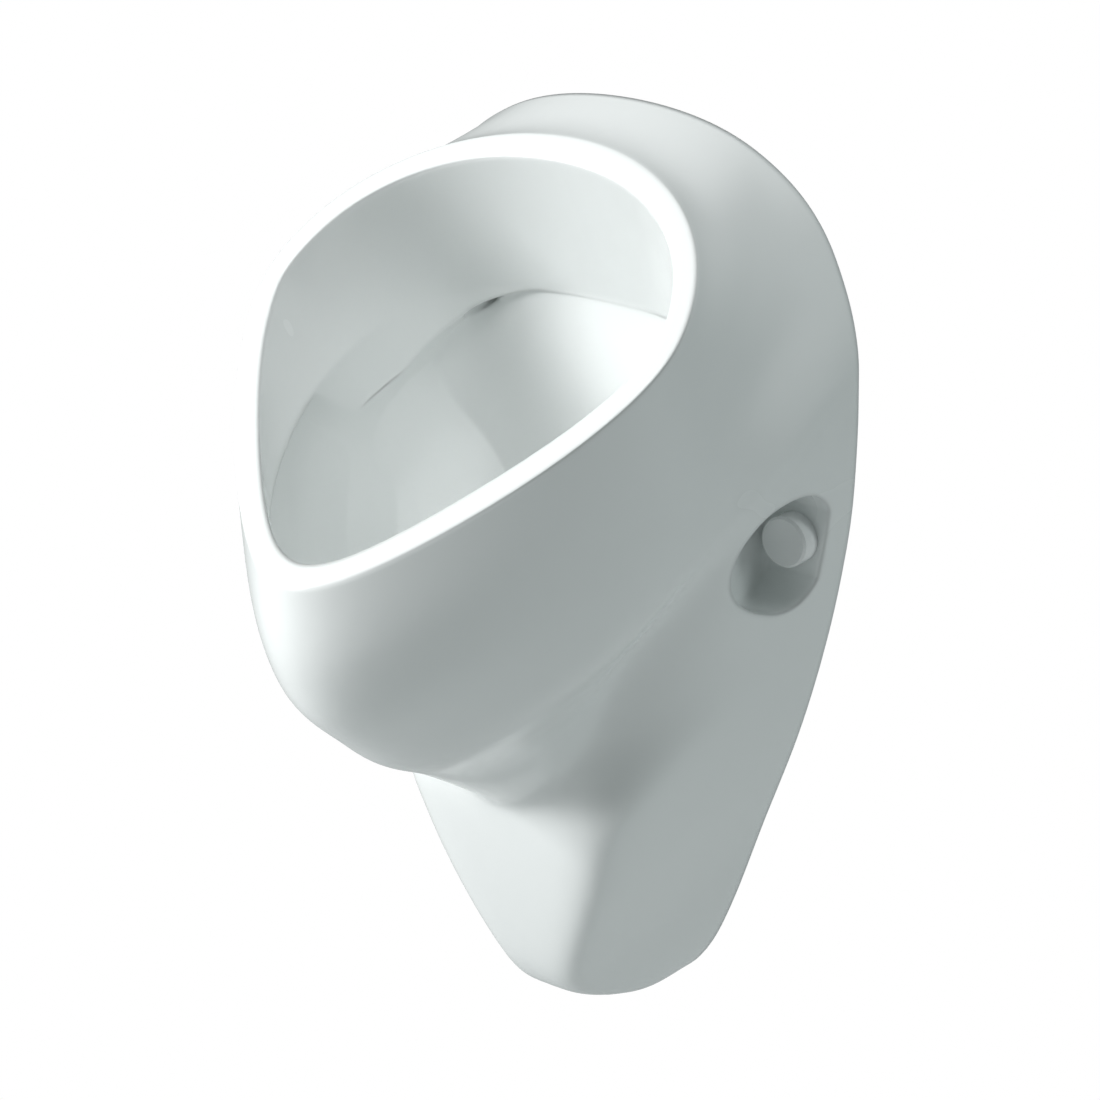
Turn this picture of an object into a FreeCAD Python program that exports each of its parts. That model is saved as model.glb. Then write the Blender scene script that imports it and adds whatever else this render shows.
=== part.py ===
import FreeCAD, Part
import math
import os
import re

import Sketcher

from FreeCAD import Placement, Rotation, Vector

# Wall hung urinal: a slip-cast china bowl with a tilted oval mouth, its hidden trap and
# waste pipe, the concealed water inlet, and the two side fixings with their cover caps.
#
# Frame: the wall is the plane Y = 0 and the user stands at -Y; +Z is up. The origin lies on
# the wall, midway between the two fixing studs. "reach" below is the distance out of the
# wall (-Y), and "height" is measured from the lowest point of the china.

doc = FreeCAD.newDocument("wall_hung_urinal")

# ---------------------------------------------------------------- driving dimensions (mm)
SIZES = {
    # china, outside
    "china_height": 604, "china_width": 354, "china_depth": 334,
    "mouth_tilt": 38, "rim_thickness": 15,
    # china, inside
    "lip_width": 226, "wall_thickness": 13, "floor_height": 172,
    "floor_thickness": 14, "floor_rounding": 9, "boss_radius": 23, "recess_top": 445,
    "duct_radius": 4.5, "pocket_rounding": 5,
    "flange_width": 18, "recess_depth": 10,
    # drain and hidden trap
    "drain_reach": 62, "drain_radius": 22, "spigot_wall": 7, "spigot_length": 20,
    "cuff_wall": 3.5, "head_wall": 3, "cup_radius": 28, "cup_wall": 2.5, "cup_bottom": 38,
    "body_low": 73, "spigot_low": 138, "dip_radius": 16, "dip_wall": 1.5, "dip_end": 46,
    "nut_wall": 4, "pipe_radius": 20, "pipe_wall": 1.8, "pipe_height": 102,
    "pipe_in_wall": 30, "pipe_gap": 1, "branch_end": 18, "sleeve_start": 8,
    "sleeve_length": 19, "sleeve_wall": 3.5, "band_sheet": 0.8, "bead_rise": 1.2,
    "collar_width": 9,
    # water inlet
    "inlet_height": 548, "inlet_radius": 13, "inlet_wall": 1.5, "inlet_seal_wall": 3.5,
    "inlet_in_wall": 25, "inlet_depth": 27,
    # side pockets and fixings
    "fixing_spacing": 288, "fixing_height": 350, 
    "pocket_back": 22, "pocket_inner": 122, "stud_radius": 4, "stud_in_wall": 18, "stud_collar_rise": 1.2,
    "bush_radius": 8.5, "bush_flange_radius": 12.5, "bush_flange": 2, "washer_radius": 10,
    "washer_thickness": 1.6, "nut_across_flats": 13, "nut_height": 6.5, "nut_end": 34.5, "cap_depth": 14,
    "cap_radius": 16.5, "cap_wall": 1.5,
    # strainer
    "strainer_radius": 25.5, "strainer_slot": 3, "strainer_sheet": 1.2, "strainer_rise": 5,
    # gasket and clearances
    "gasket_thickness": 3, "gasket_width": 10, "gasket_inset": 4,
    "seat_gap": 0.3, "slip_gap": 0.5,
}

sheet = doc.addObject("Spreadsheet::Sheet", "Sizes")
for row, (alias, value) in enumerate(SIZES.items(), start=1):
    sheet.set("A%d" % row, alias)
    sheet.set("B%d" % row, str(value))
    sheet.setAlias("B%d" % row, alias)
doc.recompute()


def size(expression):
    """The value of an expression on the sheet's aliases."""
    return float(sheet.evalExpression(expression))


HEIGHT = size("china_height")
WALL_BACK = size("gasket_thickness")
TILT = math.tan(math.radians(size("mouth_tilt")))
FIX = size("fixing_height")
GAP = size("seat_gap")


def point(x, reach, height):
    return Vector(x, -reach, height - FIX)


# ---------------------------------------------------------------- form of the china
# The outside is a stack of slices parallel to the tilted mouth. Each slice is named by its
# level, the height at which its plane meets the wall. A slice is the smooth union of two
# outlines: the bowl's oval, and the cover that hides the trap and widens to the wall.
# The tables give the main stations of each rail, and a monotone curve runs between them.

def rail(*stations):
    xs = [s[0] for s in stations]
    ys = [s[1] for s in stations]
    slopes = [(ys[i + 1] - ys[i]) / (xs[i + 1] - xs[i]) for i in range(len(xs) - 1)]
    inner = [0 if a * b <= 0 else 2 * a * b / (a + b) for a, b in zip(slopes, slopes[1:])]
    tangents = [slopes[0]] + inner + [slopes[-1]]

    def curve(x):
        if x <= xs[0]:
            return ys[0] + tangents[0] * (x - xs[0])
        if x >= xs[-1]:
            return ys[-1] + tangents[-1] * (x - xs[-1])
        i = max(j for j in range(len(xs) - 1) if xs[j] <= x)
        span = xs[i + 1] - xs[i]
        t = (x - xs[i]) / span
        return ((1 + 2 * t) * (1 - t) ** 2 * ys[i] + t * (1 - t) ** 2 * span * tangents[i]
                + t * t * (3 - 2 * t) * ys[i + 1] + t * t * (t - 1) * span * tangents[i + 1])
    return curve


def ease(t):
    t = min(max(t, 0.0), 1.0)
    return t * t * (3 - 2 * t)


UP = HEIGHT / 604                       # scale of levels and heights
OUT = size("china_depth") / 334         # scale of reaches
WIDE = size("china_width") / 354        # scale of widths
MOUTH_BACK = -36000                     # squared half width where the oval has left the wall

AT_WALL = [(0, 18), (4, 36), (12, 53), (24, 65), (41, 77), (77, 93), (143, 116), (206, 139), (266, 156),
           (323, 168), (377, 175), (429, 176), (480, 172), (527, 156), (570, 120), (590, 77), (604, 0)]
wall_square = rail(*[(level, half * half) for level, half in AT_WALL], (638, MOUTH_BACK))
bowl_half = rail((150, 40), (280, 60), (350, 70), (383, 80), (400, 92), (423, 111), (440, 127),
                 (456, 139), (480, 148), (520, 154), (570, 155), (638, 155))
bowl_middle = rail((0, 0), (60, 36), (120, 60), (280, 90), (350, 130), (400, 140), (440, 132),
                   (480, 128), (540, 140), (590, 158), (638, 172))
bowl_front = rail((200, 84), (280, 140), (400, 226), (428, 249), (475, 279), (497, 293),
                  (523, 309), (550, 321), (590, 331), (638, 334))
bowl_taper = rail((280, 0.05), (400, 0.2), (500, 0.38), (638, 0.45))
cover_front = rail((0, 1), (4, 5), (30, 36), (50, 58), (64, 71), (80, 84), (95, 93), (117, 103),
                   (152, 113), (182, 120), (215, 127), (245, 132.5), (272, 137), (330, 136),
                   (420, 134), (470, 140), (540, 160))
cover_half = rail((0, 16), (4, 30), (12, 38), (30, 42), (60, 34), (90, 29), (117, 33), (152, 46),
                  (182, 57), (215, 68), (245, 76), (272, 84), (340, 110), (417, 146), (470, 158), (540, 160))
cover_corner = rail((0, 16), (272, 18), (290, 9), (330, 4.5), (420, 4), (638, 4))
CLOSING_LENGTH = 80                     # length of the round-off behind the wall


def slice_field(level):
    """Below 1 inside the slice, above 1 outside it."""
    middle, front, half = bowl_middle(level), bowl_front(level), bowl_half(level)
    square = wall_square(level)
    at_wall = math.sqrt(max(square, 1))
    length = max(front - middle, 1.0)
    taper = bowl_taper(level)
    joined = ease((level - 420) / 50)       # the bowl's own flank reaches the wall up here
    alone = ease((level - 470) / 60)        # and the cover has run out here
    flare = joined * (square - half * half) - (1 - joined) * 0.35 * half * half
    cover_reach = cover_front(level)
    lean = (at_wall - cover_half(level)) / cover_reach
    corner = cover_corner(level)
    blend = 14 + 30 * joined

    def field(x, reach):
        x = abs(x)
        if reach <= middle:
            back = (middle - reach) / max(middle, 1)
            if flare > 0:
                back = (1 - (1 - min(back, 1)) ** 3) ** 0.75
            bowl = math.sqrt(max(x * x - flare * back * back, 1.0)) / half
        else:
            ahead = (reach - middle) / length
            bowl = math.hypot(x / (half * (1 - taper * min(ahead, 1.0) ** 1.3)), ahead)
        if alone >= 1:
            return bowl
        flank = max(x + lean * reach, 0.0) / at_wall
        cover = (flank ** corner + (max(reach, 0.0) / cover_reach) ** corner) ** (1 / corner)
        cover = cover * (1 + 4 * alone) + 1e-6
        sharp = blend + 60 * max(0.0, 1 - max(reach, 0) / 60)
        if level < 330:
            sharp += 50 * max(0.0, 1 - x / 60)
        low, high = min(bowl, cover), max(bowl, cover)
        return low * (1 + (low / high) ** sharp) ** (-1 / sharp)
    return field


slice_centre = rail((0, 0.5), (30, 18), (60, 36), (120, 56), (200, 68), (280, 80), (400, 98),
                    (500, 102), (638, 170))


def reach_out(field, centre, angle, closing=0.0):
    """Distance from the slice's centre to its outline, found by halving.

    Past the reach named by closing, towards the wall, the outline is rounded off.
    """
    c, s = math.cos(angle), math.sin(angle)
    low, high = 0.0, 420.0
    for _ in range(34):
        r = (low + high) / 2
        behind = max(closing - centre - s * r, 0.0) / CLOSING_LENGTH
        value = field(r * c, centre + r * s)
        if (value ** 3 + behind ** 3) ** (1 / 3) < 1:
            low = r
        else:
            high = r
    return r


def skin(rows):
    """A closed solid whose side is one smooth surface drawn by the rows, with flat ends.

    The points steer a cubic surface that closes on itself smoothly around each row.
    """
    count, around = len(rows), len(rows[0])
    surface = Part.BSplineSurface()
    surface.buildFromPolesMultsKnots(
        rows, [4] + [1] * (count - 4) + [4], [1] * (around + 1),
        [float(i) for i in range(count - 2)], [float(i) for i in range(around + 1)],
        False, True, 3, 3)
    first, last, _, _ = surface.bounds()
    ends = []
    for u, row in ((first, rows[0]), (last, rows[-1])):
        third = len(row) // 3
        plane = Part.Plane(row[0], row[third], row[2 * third])
        ends.append(Part.Face(plane, Part.Wire(surface.uIso(u).toShape())))
    shell = Part.makeShell([surface.toShape()] + ends)
    shell.sewShape()
    solid = Part.Solid(shell)
    if solid.Volume < 0:
        solid.reverse()
    return solid


AROUND = 48


def angles(count=AROUND):
    return [-math.pi / 2 + 2 * math.pi * i / count for i in range(count)]


def outer_row(level):
    field, centre = slice_field(level), slice_centre(level)
    row = []
    for angle in angles():
        r = reach_out(field, centre, angle)
        x, reach = r * math.cos(angle), centre + r * math.sin(angle)
        row.append(point(x * WIDE, reach * OUT, (level - reach * TILT) * UP))
    return row


LEVELS = [3, 8, 16, 26, 38, 52, 66, 80, 95, 117, 145, 175, 205, 232, 255, 272, 285, 300, 322,
          345, 370, 395, 415, 432, 450, 468, 486, 505, 530, 555, 580, 600, 615, 627, 638]

# ---------------------------------------------------------------- inside of the china
# The mouth narrows down a sloping band to the lip. The lip's edge is an egg-shaped curve in
# plan, and it falls towards the front. Under it the bowl widens by the lip's overhang.
LIP_MIDDLE, LIP_BACK, LIP_FRONT = 141, 27, 316


def lip_height(reach):
    ahead = reach - LIP_BACK
    return (478 - 0.1345 * ahead - 0.000797 * ahead * abs(ahead)) * UP


def lip_field(x, reach):
    half = size("lip_width") / 2
    if reach <= LIP_MIDDLE:
        back = (LIP_MIDDLE - reach) / (LIP_MIDDLE - LIP_BACK)
        return (abs(x / half) ** 2.6 + back ** 2.6) ** (1 / 2.6)
    ahead = (reach - LIP_MIDDLE) / (LIP_FRONT - LIP_MIDDLE)
    return math.hypot(x / (half * (1 - 0.2 * min(ahead, 1) ** 1.3)), ahead)


def polar_row(field, centre, inset, height_at):
    row = []
    for angle in angles():
        r = reach_out(field, centre, angle, -1000) - inset * min(1, 1 + 1.25 * math.sin(angle))
        x, reach = r * math.cos(angle), centre + r * math.sin(angle)
        row.append(point(x * WIDE, reach * OUT, height_at(reach)))
    return row


def mouth_row(inset, lift):
    """The mouth's oval, drawn in by inset and lifted off its plane."""
    row = []
    field = slice_field(638)
    for angle in angles():
        r = reach_out(field, 172.0, angle, -1000) - inset
        x, reach = r * math.cos(angle), 172.0 + r * math.sin(angle)
        row.append(point(x * WIDE, reach * OUT, (638 + lift - reach * TILT) * UP))
    return row


def lip_row(inset, drop):
    return polar_row(lip_field, LIP_MIDDLE, inset, lambda reach: lip_height(reach) - drop)


def between(row_a, row_b, share):
    return [a * (1 - share) + b * share for a, b in zip(row_a, row_b)]


def ring_wire(row):
    curve = Part.BSplineCurve()
    curve.interpolate(row, PeriodicFlag=True)
    return Part.Wire(curve.toShape())


def ruled(rows):
    """A solid of straight bands between closed smooth curves."""
    return Part.makeLoft([ring_wire(row) for row in rows], True, True)


def under_curve(stations, half_length):
    """Everything under a curve of (reach, height) points, drawn out along X."""
    curve = Part.BSplineCurve()
    curve.interpolate([point(-half_length, reach, height) for reach, height in stations])
    ends = [point(-half_length, stations[-1][0], 100), point(-half_length, stations[0][0], 100)]
    rest = Part.makePolygon([curve.EndPoint] + ends + [curve.StartPoint]).Edges
    return Part.Face(Part.Wire([curve.toShape()] + rest)).extrude(Vector(2 * half_length, 0, 0))


rim = size("rim_thickness")
mouth = mouth_row(rim, 0)
lip = lip_row(0, 0)
band = ruled([mouth_row(rim - 4, 24), mouth, lip,
              polar_row(lip_field, LIP_MIDDLE, 4, lambda reach: (464 - 0.37 * reach) * UP)])
below_lip = under_curve([(reach, lip_height(reach / OUT) - 2.5)
                         for reach in (5, 65, 125, 185, 245, 305, 365)], 200)

# the bowl's front is an egg; its back is an arched channel with a hollow back wall
inner_half = rail((150, 44), (220, 47), (280, 54), (350, 66), (400, 83), (425, 96), (510, 111),
                  (565, 117), (640, 119))


def egg_field(level):
    half = inner_half(level)
    front = max(bowl_front(level), 130) - size("wall_thickness")
    middle = min(bowl_middle(level) * 0.7 + 40, front * 0.6)

    def field(x, reach):
        if reach <= middle:
            return abs(x) / half
        ahead = (reach - middle) / (front - middle)
        return math.hypot(x / (half * (1 - bowl_taper(level) * 0.5 * min(ahead, 1) ** 1.3)), ahead)
    return field


def egg_row(level):
    row = []
    field = egg_field(level)
    for angle in angles():
        r = reach_out(field, 60, angle, 15)
        x, reach = r * math.cos(angle), 60 + r * math.sin(angle)
        row.append(point(x * WIDE, reach * OUT, (level - reach * TILT) * UP))
    return row


egg = skin([egg_row(level) for level in range(170, 701, 26)])


def channel():
    """Arch in front view, closed at the back by the hollow wall."""
    arch = [(60, 160), (93, 321), (109, 405), (107, 428), (102, 443), (94, 454), (84, 464),
            (72, 470), (58, 474), (40, 478)]
    right = Part.BSplineCurve()
    right.interpolate([point(x, 0, height * UP) for x, height in arch[1:]])
    left = right.copy()
    left.mirror(Vector(0, 0, 0), Vector(0, 0, 1))
    top = Part.makePolygon([point(40, 0, 478 * UP), point(30, 0, 500 * UP),
                            point(-30, 0, 500 * UP), point(-40, 0, 478 * UP)]).Edges
    low = Part.makePolygon([point(93, 0, 321 * UP), point(60, 0, 130 * UP),
                            point(-60, 0, 130 * UP), point(-93, 0, 321 * UP)]).Edges
    wire = Part.Wire(Part.sortEdges([right.toShape(), left.toShape()] + top + low)[0])
    body = Part.Face(wire).extrude(Vector(0, -400, 0))
    wall = [(-130, 110), (-107, 70), (-95, 51), (-84, 42), (-70, 34.5), (-46, 28.5), (0, 26),
            (46, 28.5), (70, 34.5), (84, 42), (95, 51), (107, 70), (130, 110)]
    back = Part.BSplineCurve()
    back.interpolate([Vector(x, -reach * OUT, -FIX) for x, reach in wall])
    sides = Part.makePolygon([back.EndPoint, Vector(130, -400, -FIX), Vector(-130, -400, -FIX),
                              back.StartPoint])
    plan = Part.Face(Part.Wire([back.toShape()] + sides.Edges))
    return body.common(plan.extrude(Vector(0, 0, 600)))


outer = skin([outer_row(level) for level in LEVELS])
room = Part.makeBox(800, 800, 1200, Vector(-400, -800 - WALL_BACK, -FIX - 100))
china = outer.common(room)
wall_face = [face for face in china.Faces if face.CenterOfMass.y > -WALL_BACK - 0.01][0]
wall_outline = wall_face.OuterWire.discretize(72)[:-1]


def outline_face(inset, reach):
    """The china's outline on the wall, drawn in by inset."""
    points = []
    count = len(wall_outline)
    for i, here in enumerate(wall_outline):
        along = wall_outline[(i + 1) % count] - wall_outline[i - 1]
        across = along.cross(Vector(0, 1, 0)).normalize()
        if across.dot(Vector(0, 0, 330 - FIX) - here) < 0:
            across = -across
        moved = here + across * inset
        points.append(Vector(moved.x, -reach, moved.z))
    curve = Part.BSplineCurve()
    curve.interpolate(points, PeriodicFlag=True)
    return Part.Face(Part.Wire(curve.toShape()))


def rod(radius, start, end):
    return Part.makeCylinder(radius, (end - start).Length, start, end - start)


def slab(low, high):
    """Everything between two heights."""
    return Part.makeBox(800, 800, high - low, Vector(-400, -700, low - FIX))


# bowl
hollow = egg.common(channel()).common(below_lip).common(slab(size("floor_height"), 700))
floor_edges = [edge for edge in hollow.Edges
               if abs(edge.BoundBox.ZMax - (size("floor_height") - FIX)) < 0.01]
hollow = hollow.makeFillet(size("floor_rounding"), floor_edges)
china = china.cut(band.fuse(hollow))

# hollow back: a shallow recess inside the flange, with a boss left around each fixing, and
# two deep hollows beside the bowl's back wall
behind = outline_face(size("flange_width"), WALL_BACK - 1)
recess = behind.extrude(Vector(0, -size("recess_depth") - 1, 0))
recess = recess.common(slab(0, size("recess_top")))
deep = Part.makePolygon([Vector(x, -reach, -FIX) for x, reach in
                         [(50, 5), (50, 14), (70, 20), (84, 28), (95, 37), (103, 50),
                          (108, 50), (108, 5), (50, 5)]])
deep = Part.Face(deep).extrude(Vector(0, 0, 600)).common(slab(200, size("recess_top")))
deep = deep.fuse(deep.mirror(Vector(0, 0, 0), Vector(1, 0, 0)))
recess = recess.fuse(deep)
for side in (-1, 1):
    boss = Vector(side * size("fixing_spacing") / 2, 0, 0)
    recess = recess.cut(rod(size("boss_radius"), boss, boss - Vector(0, 60, 0)))
china = china.cut(recess)

# the hollow for the trap, open at the back, with the drain's spigot standing in it
def trap_row(level):
    field, centre = slice_field(level), slice_centre(level)
    row = []
    for angle in angles():
        r = reach_out(field, centre, angle)
        r = max(r - size("wall_thickness"), r * 0.4)
        x, reach = r * math.cos(angle), centre + r * math.sin(angle)
        row.append(point(x * WIDE, reach * OUT, (level - reach * TILT) * UP))
    return row


ceiling = size("floor_height - floor_thickness")
drain = point(0, size("drain_reach"), 0)
trap_room = skin([trap_row(level) for level in range(34, 295, 20)])
trap_room = trap_room.common(slab(18, ceiling))
trap_room = trap_room.common(behind.extrude(Vector(0, -300, 0)))
spigot = rod(size("drain_radius + spigot_wall"), drain + Vector(0, 0, ceiling
             - size("spigot_length")), drain + Vector(0, 0, 300))
china = china.cut(trap_room.cut(spigot))
china = china.cut(rod(size("drain_radius"), drain + Vector(0, 0, 50), drain + Vector(0, 0, 200)))

# water way: the inlet's bore, and two ducts that open in the corners under the lip
bore_radius = size("inlet_radius + inlet_seal_wall + 2 * seat_gap")
inlet = point(0, 0, size("inlet_height"))
bores = [rod(bore_radius, inlet, inlet - Vector(0, size("inlet_depth"), 0))]
for side in (-1, 1):
    ways = [point(0, 18, size("inlet_height")), point(0, 16, 500), point(side * 70, 16, 484),
            point(side * 91, 52, 458)]
    for start, end in zip(ways, ways[1:]):
        bores += [rod(size("duct_radius"), start, end),
                  Part.makeSphere(size("duct_radius"), end)]

# side pockets and the bores of the fixings
pocket_curve = Part.BSplineCurve()
pocket_curve.interpolate([point(0, reach, height) for reach, height in
                          [(size("pocket_back"), 372), (40, 387), (60, 386.5), (74, 381),
                           (84, 371), (90, 358), (91, 347), (89, 335), (80, 322), (63, 312),
                           (44, 308), (size("pocket_back"), 326)]])
pocket_seat = Part.makeLine(pocket_curve.EndPoint, pocket_curve.StartPoint)
pocket_plan = Part.Face(Part.Wire([pocket_curve.toShape(), pocket_seat]))
for side in (-1, 1):
    pocket = pocket_plan.copy()
    pocket.translate(Vector(side * size("pocket_inner"), 0, 0))
    pocket = pocket.extrude(Vector(side * 100, 0, 0))
    inner_end = [edge for edge in pocket.Edges
                 if edge.BoundBox.XLength < 0.01 and abs(edge.CenterOfMass.x)
                 < size("pocket_inner") + 0.01]
    pocket = pocket.makeFillet(size("pocket_rounding"), inner_end)
    stud = point(side * size("fixing_spacing") / 2, 0, FIX)
    bores += [pocket, rod(size("bush_radius + slip_gap"), stud, stud - Vector(0, 40, 0))]
china = china.cut(bores[0].fuse(bores[1:]))

china = max(china.Solids, key=lambda solid: solid.Volume)
ceramic = doc.addObject("Part::Feature", "ceramic_body")
ceramic.Label = "ceramic_body"
ceramic.Shape = china

gasket_shape = outline_face(size("gasket_inset"), 0).extrude(Vector(0, GAP - WALL_BACK, 0))
gasket_shape = gasket_shape.cut(outline_face(size("gasket_inset + gasket_width"), -1)
                                .extrude(Vector(0, -WALL_BACK - 2, 0)))
gasket = doc.addObject("Part::Feature", "sound_gasket")
gasket.Label = "sound_gasket"
gasket.Shape = gasket_shape


# ---------------------------------------------------------------- turned pieces
def bind(item, **settings):
    for name, expression in settings.items():
        item.setExpression(name.replace("__", "."), expression)


def turned(label, profile):
    """A body turned about its Z axis from a closed profile of (radius, height) expressions."""
    body = doc.addObject("PartDesign::Body", label + "_body")
    sketch = body.newObject("Sketcher::SketchObject", label + "_sketch")
    sketch.AttachmentSupport = [(body.Origin.OriginFeatures[4], "")]
    sketch.MapMode = "FlatFace"
    values = [(size(across), size(up)) for across, up in profile]
    for i, (across, up) in enumerate(values):
        next_across, next_up = values[(i + 1) % len(values)]
        sketch.addGeometry(Part.LineSegment(Vector(across, up, 0),
                                            Vector(next_across, next_up, 0)), False)
    count = len(profile)
    for i in range(count):
        sketch.addConstraint(Sketcher.Constraint("Coincident", i, 2, (i + 1) % count, 1))
    for i, (across, up) in enumerate(profile):
        if values[i][0] == 0:
            sketch.addConstraint(Sketcher.Constraint("PointOnObject", i, 1, -2))
        else:
            index = sketch.addConstraint(
                Sketcher.Constraint("DistanceX", -1, 1, i, 1, values[i][0]))
            sketch.setExpression("Constraints[%d]" % index, sheet_names(across))
        if values[i][1] == 0:
            sketch.addConstraint(Sketcher.Constraint("PointOnObject", i, 1, -1))
        else:
            index = sketch.addConstraint(
                Sketcher.Constraint("DistanceY", -1, 1, i, 1, values[i][1]))
            sketch.setExpression("Constraints[%d]" % index, sheet_names(up))
    turn = body.newObject("PartDesign::Revolution", label + "_turn")
    turn.Profile = sketch
    turn.ReferenceAxis = (sketch, ["V_Axis"])
    turn.Angle = 360
    return body


def sheet_names(expression):
    """The expression with each alias looked up on the sheet."""
    return re.sub(r"[a-z]+(?:_[a-z]+)*", lambda word: "Sizes." + word.group(0), expression)


def place(body, x="0", reach="0", height="fixing_height", outward=False, inward=False):
    """Stands a body's Z axis upright, or turns it to point out of the wall or into it."""
    tilt = 90 if outward else -90 if inward else 0
    body.Placement = Placement(Vector(0, 0, 0), Rotation(Vector(1, 0, 0), tilt))
    bind(body, Placement__Base__x=sheet_names(x),
         Placement__Base__y=sheet_names("-(%s)" % reach),
         Placement__Base__z=sheet_names("(%s) - fixing_height" % height))
    return body


def ring(inner, outer, low, high):
    return [(inner, low), (outer, low), (outer, high), (inner, high)]


def joined(kind, label, pieces):
    item = doc.addObject(kind, label)
    if kind == "Part::Cut":
        item.Base, item.Tool = pieces
    elif kind == "Part::Compound":
        item.Links = pieces
    else:
        item.Shapes = pieces
    return item


def pair(label, right):
    """A piece and its mirror image on the other side, kept as one group."""
    left = doc.addObject("Part::Mirroring", label + "_mirrored")
    left.Source = right
    left.Normal = (1, 0, 0)
    return joined("Part::Compound", label, [right, left])


def pipe_along(label, radius, start, end):
    """A plain cylinder out of the wall, between two reaches on the outlet's axis."""
    item = doc.addObject("Part::Cylinder", label)
    bind(item, Radius=sheet_names(radius), Height=sheet_names("(%s) - (%s)" % (end, start)))
    return place(item, reach=start, height="pipe_height", outward=True)


nodes = [ceramic, gasket]

# strainer: a domed sheet lid over the drain, with a short collar that drops into it
# and a ring of slots; it rests on the bowl's floor
lid = turned("strainer_lid", [
    ("0", "strainer_rise"), ("strainer_radius - 9", "strainer_rise * 0.85"),
    ("strainer_radius", "0"), ("strainer_radius", "strainer_sheet"),
    ("strainer_radius - 9", "strainer_rise * 0.85 + strainer_sheet"),
    ("0", "strainer_rise + strainer_sheet")])
collar = turned("strainer_collar", ring("drain_radius - slip_gap * 2 - strainer_sheet",
                                        "drain_radius - slip_gap * 2", "2", "19.4"))
place(collar, reach="drain_reach", height="floor_height + seat_gap - 16")
place(lid, reach="drain_reach", height="floor_height + seat_gap")
slots = []
for i in range(8):
    slot = doc.addObject("Part::Box", "strainer_slot_%d" % i)
    bind(slot, Length="Sizes.strainer_radius - 18", Width="Sizes.strainer_slot",
         Height="20")
    turn_angle = math.radians(45 * i)
    slot.Placement = Placement(Vector(7 * math.cos(turn_angle), 7 * math.sin(turn_angle), 0),
                               Rotation(Vector(0, 0, 1), 45 * i))
    slots.append(slot)
slot_group = joined("Part::MultiFuse", "strainer_slots", slots)
place(slot_group, reach="drain_reach", height="floor_height")
nodes.append(joined("Part::Cut", "strainer",
                    [joined("Part::MultiFuse", "strainer_blank", [lid, collar]), slot_group]))

# trap: a rubber cuff on the spigot carries the body; the dip tube hangs inside, and the cup
# screws on from below with its union nut
horn = "drain_radius + spigot_wall + seat_gap"
cuff = turned("trap_cuff", ring(horn, horn + " + cuff_wall", "0", "spigot_length - 2"))
nodes.append(place(cuff, reach="drain_reach",
                   height="floor_height - floor_thickness - spigot_length"))

socket = horn + " + cuff_wall + seat_gap"
low = "body_low"
shoulder = "spigot_low - 5"
outer_turn = turned("trap_body_outside", [
    ("0", low), ("cup_radius + 2", low), ("cup_radius + 2", "body_low + 7"),
    ("cup_radius", "body_low + 9"), ("cup_radius", "spigot_low - 10"),
    (socket + " + head_wall", "spigot_low - 8"), (socket + " + head_wall", "spigot_low + 17"),
    ("0", "spigot_low + 17")])
inner_turn = turned("trap_body_inside", [
    ("0", "body_low - 1"), ("cup_radius - cup_wall", "body_low - 1"),
    ("cup_radius - cup_wall", "spigot_low - 10"), ("dip_radius + seat_gap", "spigot_low - 10"),
    ("dip_radius + seat_gap", shoulder), (socket, shoulder), (socket, "spigot_low + 18"),
    ("0", "spigot_low + 18")])
for item in (outer_turn, inner_turn):
    place(item, reach="drain_reach", height="0")
branch = pipe_along("trap_branch", "pipe_radius", "branch_end", "drain_reach")
branch_bore = pipe_along("trap_branch_bore", "pipe_radius - pipe_wall", "branch_end - 5",
                         "drain_reach")
nodes.append(joined("Part::Cut", "trap_body", [
    joined("Part::MultiFuse", "trap_body_blank", [outer_turn, branch]),
    joined("Part::MultiFuse", "trap_body_bores", [inner_turn, branch_bore])]))

dip = turned("trap_dip_tube", [
    ("dip_radius - dip_wall", "dip_end"), ("dip_radius", "dip_end"),
    ("dip_radius", "spigot_low - 5 + seat_gap"), ("dip_radius + 4", "spigot_low - 5 + seat_gap"),
    ("dip_radius + 4", "spigot_low - 3 + seat_gap"),
    ("dip_radius - dip_wall", "spigot_low - 3 + seat_gap")])
nodes.append(place(dip, reach="drain_reach", height="0"))

cup_seal = turned("trap_cup_seal", ring("cup_radius - cup_wall", "cup_radius + 2",
                                        "body_low - 4", "body_low - seat_gap"))
nodes.append(place(cup_seal, reach="drain_reach", height="0"))
cup = turned("trap_cup", [
    ("0", "cup_bottom"), ("cup_radius - 11", "cup_bottom"), ("cup_radius", "cup_bottom + 11"),
    ("cup_radius", "body_low - 7.3"), ("cup_radius + 2", "body_low - 7.3"),
    ("cup_radius + 2", "body_low - 4.3"), ("cup_radius - cup_wall", "body_low - 4.3"),
    ("cup_radius - cup_wall", "cup_bottom + 12"),
    ("cup_radius - 12", "cup_bottom + 3"), ("0", "cup_bottom + 3")])
nodes.append(place(cup, reach="drain_reach", height="0"))
nut = turned("trap_cup_nut", [
    ("cup_radius + seat_gap", "body_low - 10.6"), ("cup_radius + 2 + nut_wall", "body_low - 10.6"),
    ("cup_radius + 2 + nut_wall", "body_low + 6.5"), ("cup_radius + 2 + seat_gap",
                                                      "body_low + 6.5"),
    ("cup_radius + 2 + seat_gap", "body_low - 7.6"), ("cup_radius + seat_gap",
                                                      "body_low - 7.6")])
nodes.append(place(nut, reach="drain_reach", height="0"))

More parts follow.
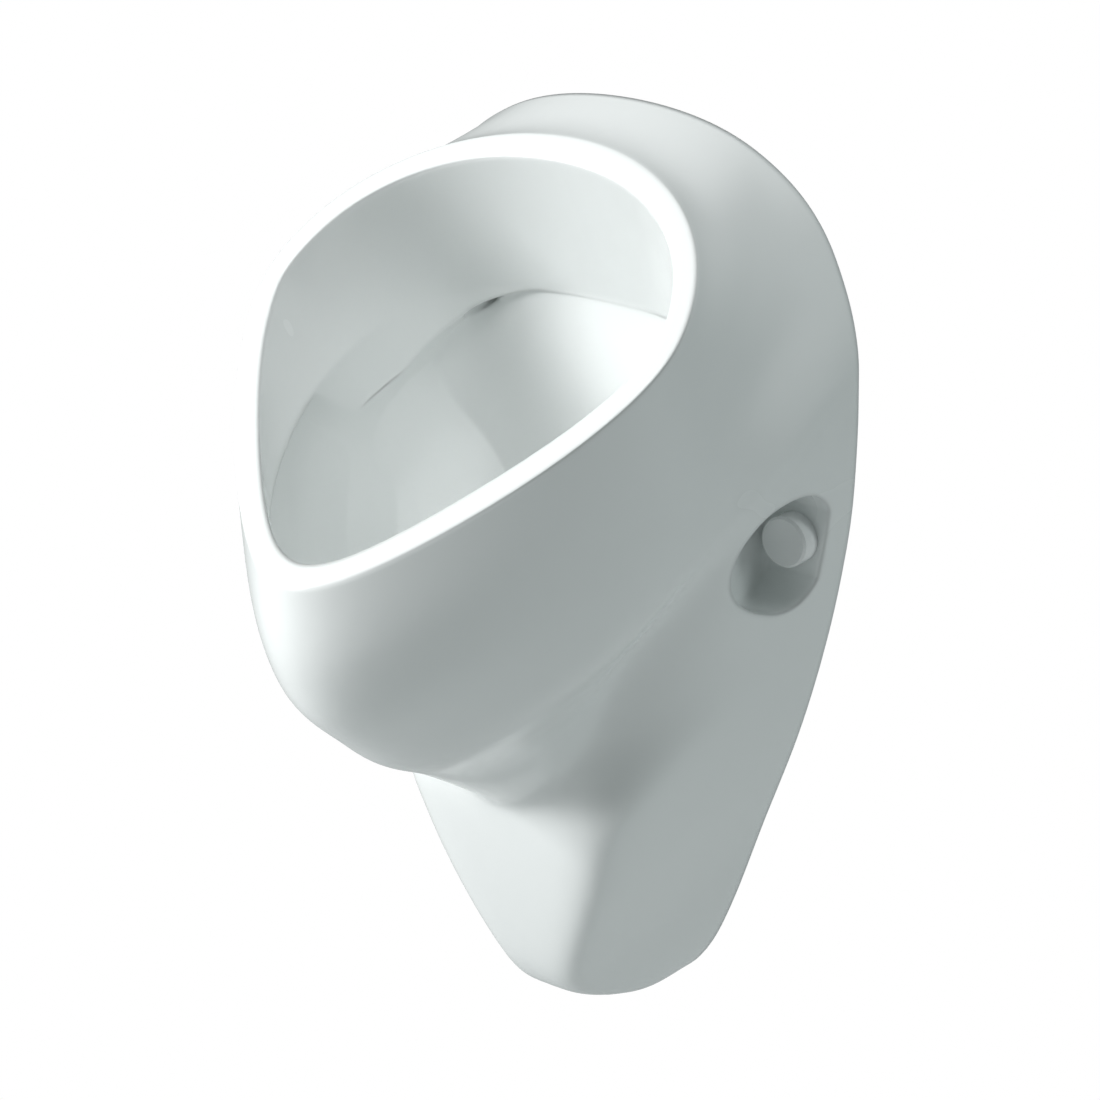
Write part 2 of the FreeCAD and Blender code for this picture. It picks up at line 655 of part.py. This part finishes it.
# outlet: a rubber sleeve with two bands joins the branch to the waste pipe in the wall
sleeve = turned("outlet_sleeve", ring("pipe_radius + seat_gap",
                                      "pipe_radius + seat_gap + sleeve_wall", "0",
                                      "sleeve_length"))
nodes.append(place(sleeve, reach="sleeve_start", height="pipe_height", outward=True))
band_in = "pipe_radius + 2 * seat_gap + sleeve_wall"
bands = []
for name, start in (("front", "sleeve_start + sleeve_length - 7"), ("back", "sleeve_start + 2")):
    band_ring = turned("sleeve_band_" + name, ring(band_in, band_in + " + band_sheet", "0", "5"))
    bands.append(place(band_ring, reach=start, height="pipe_height", outward=True))
nodes.append(joined("Part::Compound", "sleeve_bands", bands))


def beaded(inner, outer, in_wall, length):
    """A tube with a low bead just inside the wall's face, where its free end begins."""
    return [(inner, "0"), (outer, "0"), (outer, in_wall + " - 2"),
            (outer + " + bead_rise", in_wall + " - 2"),
            (outer + " + bead_rise", in_wall + " - 0.5"), (outer, in_wall + " - 0.5"),
            (outer, length), (inner, length)]


waste = turned("waste_pipe", beaded("pipe_radius - pipe_wall", "pipe_radius", "pipe_in_wall",
                                    "pipe_in_wall + branch_end - pipe_gap"))
nodes.append(place(waste, reach="-pipe_in_wall", height="pipe_height", outward=True))
wall_collar = turned("wall_collar", [
    ("pipe_radius + seat_gap", "0"), ("pipe_radius + collar_width", "0"),
    ("pipe_radius + collar_width", "1.5"), ("pipe_radius + 3", "4"),
    ("pipe_radius + seat_gap", "4")])
nodes.append(place(wall_collar, reach="seat_gap", height="pipe_height", outward=True))

# water inlet: a tube out of the wall that ends in the china's bore, inside a lip seal
tube = turned("inlet_tube", beaded("inlet_radius - inlet_wall", "inlet_radius",
                                   "inlet_in_wall", "inlet_in_wall + inlet_depth - 5"))
nodes.append(place(tube, reach="-inlet_in_wall", height="inlet_height", outward=True))
seal = turned("inlet_seal", ring("inlet_radius + seat_gap",
                                 "inlet_radius + seat_gap + inlet_seal_wall", "0", "14"))
nodes.append(place(seal, reach="6", height="inlet_height", outward=True))

# fixings, one on each side: stud, bush, washer, nut and cover cap
SIDE = "fixing_spacing / 2"
bush_face = "pocket_back + seat_gap + bush_flange"
washer_face = bush_face + " + seat_gap + washer_thickness"
stud = turned("fixing_stud", [
    ("0", "0"), ("stud_radius", "0"), ("stud_radius", "stud_in_wall - 2"),
    ("stud_radius + stud_collar_rise", "stud_in_wall - 2"),
    ("stud_radius + stud_collar_rise", "stud_in_wall - 0.5"),
    ("stud_radius", "stud_in_wall - 0.5"), ("stud_radius", "stud_in_wall + nut_end"),
    ("0", "stud_in_wall + nut_end")])
place(stud, x=SIDE, reach="-stud_in_wall", outward=True)
nodes.append(pair("fixing_studs", stud))
bush = turned("fixing_bush", [
    ("stud_radius + seat_gap", "0"), ("bush_radius", "0"),
    ("bush_radius", "pocket_back + seat_gap - gasket_thickness - 1"),
    ("bush_flange_radius", "pocket_back + seat_gap - gasket_thickness - 1"),
    ("bush_flange_radius", "pocket_back + seat_gap - gasket_thickness - 1 + bush_flange"),
    ("stud_radius + seat_gap", "pocket_back + seat_gap - gasket_thickness - 1 + bush_flange")])
place(bush, x=SIDE, reach="gasket_thickness + 1", outward=True)
nodes.append(pair("fixing_bushes", bush))
washer = turned("fixing_washer", ring("stud_radius + seat_gap", "washer_radius", "0",
                                      "washer_thickness"))
place(washer, x=SIDE, reach=bush_face + " + seat_gap", outward=True)
nodes.append(pair("fixing_washers", washer))
hexagon = doc.addObject("Part::Prism", "fixing_nut_hexagon")
hexagon.Polygon = 6
bind(hexagon, Circumradius="Sizes.nut_across_flats / sqrt(3)", Height="Sizes.nut_height")
nut_bore = doc.addObject("Part::Cylinder", "fixing_nut_bore")
bind(nut_bore, Radius="Sizes.stud_radius + Sizes.seat_gap", Height="Sizes.nut_height")
for item in (hexagon, nut_bore):
    place(item, x=SIDE, reach=washer_face + " + seat_gap", outward=True)
nodes.append(pair("fixing_nuts", joined("Part::Cut", "fixing_nut", [hexagon, nut_bore])))
for name, x in (("right", SIDE), ("left", "-" + SIDE)):
    cap = turned("fixing_cap_" + name, [
        ("0", "cap_depth - cap_wall"), ("cap_radius - cap_wall", "cap_depth - cap_wall"),
        ("cap_radius - cap_wall", "0"), ("cap_radius", "0"), ("cap_radius", "cap_depth - 1.5"),
        ("cap_radius - 1.5", "cap_depth"), ("0", "cap_depth")])
    nodes.append(place(cap, x=x, reach="pocket_back + seat_gap", outward=True))

doc.recompute()
os.makedirs("parts", exist_ok=True)
for item in doc.Objects:
    if "Invalid" in item.State or "Error" in item.State:
        raise SystemExit("%s does not recompute: %s" % (item.Label, item.State))
for node in nodes:
    label = node.Name[:-5] if node.TypeId == "PartDesign::Body" else node.Name
    node.Label = label
    shape = node.Shape
    if shape.isNull() or not shape.isValid():
        raise SystemExit("%s has no valid shape" % label)
    shape.exportStep("parts/%s.step" % label)
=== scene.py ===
"""The looks of a wall hung urinal: a glazed china bowl, its fixings, inlet, trap and strainer.

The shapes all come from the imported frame. This script gives each node its finish, lights it
as the photograph does and sets up the camera. Lengths are in metres.
"""

import math

import bpy
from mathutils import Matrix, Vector

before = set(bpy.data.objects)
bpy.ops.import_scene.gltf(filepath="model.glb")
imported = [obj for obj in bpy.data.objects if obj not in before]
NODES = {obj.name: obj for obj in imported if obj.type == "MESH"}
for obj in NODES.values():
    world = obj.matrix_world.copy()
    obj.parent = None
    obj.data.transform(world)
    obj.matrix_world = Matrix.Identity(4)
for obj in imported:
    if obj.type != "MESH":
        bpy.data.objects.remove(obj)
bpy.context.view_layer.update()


# ---------------------------------------------------------------- materials in general
class Socket:
    """A value in a node tree; + and * add the maths nodes."""

    def __init__(self, tree, output):
        self.tree = tree
        self.output = output

    def _math(self, operation, first, second=0.0):
        node = self.tree.nodes.new("ShaderNodeMath")
        node.operation = operation
        for socket, value in zip(node.inputs, (first, second)):
            if isinstance(value, Socket):
                self.tree.links.new(value.output, socket)
            else:
                socket.default_value = value
        return Socket(self.tree, node.outputs[0])

    def __add__(self, other):
        return self._math("ADD", self, other)

    def __mul__(self, other):
        return self._math("MULTIPLY", self, other)

    __radd__ = __add__
    __rmul__ = __mul__

    def node(self, kind, output=0, settings=None, **inputs):
        """Any other node in the same tree, with its inputs set or linked by name."""
        node = self.tree.nodes.new(kind)
        for name, value in (settings or {}).items():
            setattr(node, name, value)
        for name, value in inputs.items():
            socket = node.inputs[name.replace("_", " ")]
            if isinstance(value, Socket):
                self.tree.links.new(value.output, socket)
            else:
                socket.default_value = value
        return Socket(self.tree, node.outputs[output])


def surface(name, **plain):
    """A new material; returns it with its object coordinates and a setter for the shader."""
    material = bpy.data.materials.new(name)
    material.use_nodes = True
    tree = material.node_tree
    shader = tree.nodes["Principled BSDF"]
    for key, value in plain.items():
        shader.inputs[key.replace("_", " ")].default_value = value
    place = tree.nodes.new("ShaderNodeTexCoord")
    here = Socket(tree, place.outputs["Object"])

    def link(**varying):
        for key, value in varying.items():
            tree.links.new(value.output, shader.inputs[key.replace("_", " ")])
    return material, here, link


def wear(material, *nodes):
    """Puts a material on CAD nodes in place of the one they came with."""
    for node in nodes:
        mesh = NODES[node].data
        mesh.materials.clear()
        mesh.materials.append(material)


def mottled(here, scale, low, high):
    """A slow noise between two values."""
    noise = here.node("ShaderNodeTexNoise", Vector=here, Scale=scale, Detail=2.0)
    return noise * (high - low) + low


# ---------------------------------------------------------------- ceramic_body
# Slip-cast vitreous china under a thick, clear-white fired glaze: very smooth and glossy,
# with the faintest orange peel where the glaze flowed, and a soft radius along each edge.
GLAZE_WHITE = (0.85, 0.875, 0.87, 1)
EDGE_RADIUS = 0.006                     # as wide as the glaze's rounding on the rim
PEEL_HEIGHT = 0.002


def glazed_china():
    material, here, link = surface("glazed_china", Base_Color=GLAZE_WHITE, Coat_Weight=0.35,
                                   Coat_Roughness=0.04, IOR=1.48)
    peel = here.node("ShaderNodeTexNoise", Vector=here, Scale=38.0, Detail=2.0)
    soft_edge = here.node("ShaderNodeBevel", settings={"samples": 8}, Radius=EDGE_RADIUS)
    bump = here.node("ShaderNodeBump", Height=peel, Strength=0.02, Distance=PEEL_HEIGHT,
                     Normal=soft_edge)
    link(Roughness=mottled(here, 9.0, 0.2, 0.3), Normal=bump)
    return material


wear(glazed_china(), "ceramic_body")


# ---------------------------------------------------------------- moulded plastics
# Injection-moulded trap pieces in off-white polypropylene, a grey waste pipe, nylon bushes
# and two glossy cover caps. All have a very fine grain, and a gloss that varies a little.
GRAIN_HEIGHT = 0.0003
GLOSS_SPREAD = 0.05


def moulded(name, colour, roughness):
    material, here, link = surface(name, Base_Color=(*colour, 1), IOR=1.46)
    grain = here.node("ShaderNodeTexNoise", Vector=here, Scale=900.0, Detail=1.0)
    bump = here.node("ShaderNodeBump", Height=grain, Strength=0.05, Distance=GRAIN_HEIGHT)
    gloss = mottled(here, 40.0, roughness - GLOSS_SPREAD, roughness + GLOSS_SPREAD)
    link(Roughness=gloss, Normal=bump)
    return material


wear(moulded("trap_plastic", (0.84, 0.84, 0.82), 0.38), "trap_body", "trap_dip_tube", "trap_cup")
wear(moulded("nut_plastic", (0.74, 0.75, 0.74), 0.42), "trap_cup_nut", "wall_collar")
wear(moulded("waste_plastic", (0.30, 0.32, 0.34), 0.35), "waste_pipe")
wear(moulded("bush_plastic", (0.72, 0.72, 0.68), 0.45), "fixing_bushes")
wear(moulded("cap_plastic", (0.86, 0.87, 0.87), 0.16), "fixing_cap_left", "fixing_cap_right")


# ---------------------------------------------------------------- rubber and foam
# Moulded black rubber: the cuff, the sleeve and the seals. The mat behind the flange is a
# pale closed-cell foam with finer pores.
PORE_HEIGHT = 0.0006
DULLNESS_SPREAD = 0.06


def soft(name, colour, roughness, scale):
    material, here, link = surface(name, Base_Color=(*colour, 1))
    pores = here.node("ShaderNodeTexNoise", Vector=here, Scale=scale, Detail=3.0)
    bump = here.node("ShaderNodeBump", Height=pores, Strength=0.25, Distance=PORE_HEIGHT)
    dullness = mottled(here, 60.0, roughness - DULLNESS_SPREAD, roughness + DULLNESS_SPREAD)
    link(Roughness=dullness, Normal=bump)
    return material


wear(soft("seal_rubber", (0.025, 0.025, 0.027), 0.55, 700.0),
     "trap_cuff", "trap_cup_seal", "outlet_sleeve", "inlet_seal")
wear(soft("mat_foam", (0.68, 0.68, 0.65), 0.85, 1500.0), "sound_gasket")


# ---------------------------------------------------------------- metals
# Stainless strainer and bands with drawn streaks, a bright plated inlet tube, and zinc plated
# studs, washers and nuts.
DRAWN = (1, 12, 1)                      # streaks squeezed along Y
EVEN = (1, 1, 1)


def metal(name, colour, low, high, stretch):
    material, here, link = surface(name, Base_Color=(*colour, 1), Metallic=1.0)
    drawn = here.node("ShaderNodeMapping", Vector=here, Scale=stretch)
    streak = drawn.node("ShaderNodeTexNoise", Vector=drawn, Scale=160.0, Detail=4.0)
    link(Roughness=streak * (high - low) + low)
    return material


wear(metal("polished_steel", (0.60, 0.60, 0.59), 0.22, 0.42, DRAWN), "strainer")
wear(metal("band_steel", (0.56, 0.56, 0.57), 0.25, 0.45, DRAWN), "sleeve_bands")
wear(metal("pipe_metal", (0.72, 0.72, 0.74), 0.04, 0.10, EVEN), "inlet_tube")
wear(metal("zinc_steel", (0.58, 0.60, 0.63), 0.28, 0.46, EVEN),
     "fixing_studs", "fixing_washers", "fixing_nuts")


# ---------------------------------------------------------------- floor and background
# The floor and the background look white to the camera, as in the photograph, but light the
# china only a little, in the photograph's slightly green grey.
FLOOR_HEIGHT = -0.75
FLOOR_SIDE = 12
FLOOR_COLOUR = (0.62, 0.64, 0.64, 1)
AMBIENT_COLOUR = (0.88, 1.0, 0.99, 1)
AMBIENT_STRENGTH = 0.15


def white_to_camera(tree, shader, seen, output):
    """The camera sees one shader, and the object is lit by the other."""
    path = tree.nodes.new("ShaderNodeLightPath")
    mix = tree.nodes.new("ShaderNodeMixShader")
    tree.links.new(path.outputs["Is Camera Ray"], mix.inputs[0])
    tree.links.new(shader.outputs[0], mix.inputs[1])
    tree.links.new(seen.outputs[0], mix.inputs[2])
    tree.links.new(mix.outputs[0], tree.nodes[output].inputs["Surface"])


def pale_floor():
    material = bpy.data.materials.new("backdrop")
    material.use_nodes = True
    tree = material.node_tree
    paint = tree.nodes["Principled BSDF"]
    paint.inputs["Base Color"].default_value = FLOOR_COLOUR
    paint.inputs["Roughness"].default_value = 0.9
    white = tree.nodes.new("ShaderNodeEmission")
    white.inputs["Strength"].default_value = 1.0
    white_to_camera(tree, paint, white, "Material Output")
    bpy.ops.mesh.primitive_plane_add(size=FLOOR_SIDE, location=(0, 0, FLOOR_HEIGHT))
    floor = bpy.context.object
    floor.name = "floor"
    floor.data.materials.append(material)


def background():
    world = bpy.data.worlds.new("studio")
    bpy.context.scene.world = world
    world.use_nodes = True
    tree = world.node_tree
    white = tree.nodes["Background"]
    white.inputs["Color"].default_value = (1, 1, 1, 1)
    white.inputs["Strength"].default_value = 1.0
    ambient = tree.nodes.new("ShaderNodeBackground")
    ambient.inputs["Color"].default_value = AMBIENT_COLOUR
    ambient.inputs["Strength"].default_value = AMBIENT_STRENGTH
    white_to_camera(tree, ambient, white, "World Output")


pale_floor()
background()


# ---------------------------------------------------------------- lights
# A strong key from the front left, a softer light over the bowl, and a weak fill from behind
# on the right that the glaze doesn't mirror.
LIT_POINT = Vector((0, -0.12, 0.02))
WHITE = (1, 1, 1)
COOL = (0.93, 1.0, 1.0)


def aim(obj, place, target):
    obj.location = place
    obj.rotation_euler = (target - place).to_track_quat("-Z", "Y").to_euler()


def softbox(name, place, size, watts, colour, mirrored):
    data = bpy.data.lights.new(name, "AREA")
    data.shape = "RECTANGLE"
    data.size, data.size_y = size
    data.energy = watts
    data.color = colour
    lamp = bpy.data.objects.new(name, data)
    lamp.visible_glossy = mirrored
    bpy.context.scene.collection.objects.link(lamp)
    aim(lamp, Vector(place), LIT_POINT)


softbox("key", (-1.7, -2.4, 1.2), (1.1, 1.1), 96, WHITE, True)
softbox("top", (0.1, -0.9, 2.4), (1.0, 0.8), 24, WHITE, True)
softbox("side", (2.0, 0.9, 0.5), (0.6, 1.4), 11, COOL, False)


# ---------------------------------------------------------------- camera
# It stands 38 degrees to the right and 21 degrees up, two metres away, as fitted to the
# photograph, with a long lens.
TARGET = Vector((0.051, -0.150, 0.00766))
AZIMUTH = math.radians(38)
ELEVATION = math.radians(21)
DISTANCE = 2.0
away = Vector((math.sin(AZIMUTH) * math.cos(ELEVATION),
               -math.cos(AZIMUTH) * math.cos(ELEVATION),
               math.sin(ELEVATION)))
lens = bpy.data.cameras.new("camera")
lens.lens = 108
lens.sensor_width = 36
camera = bpy.data.objects.new("camera", lens)
bpy.context.scene.collection.objects.link(camera)
aim(camera, TARGET + away * DISTANCE, TARGET)
bpy.context.scene.camera = camera
bpy.context.scene.view_settings.view_transform = "Standard"
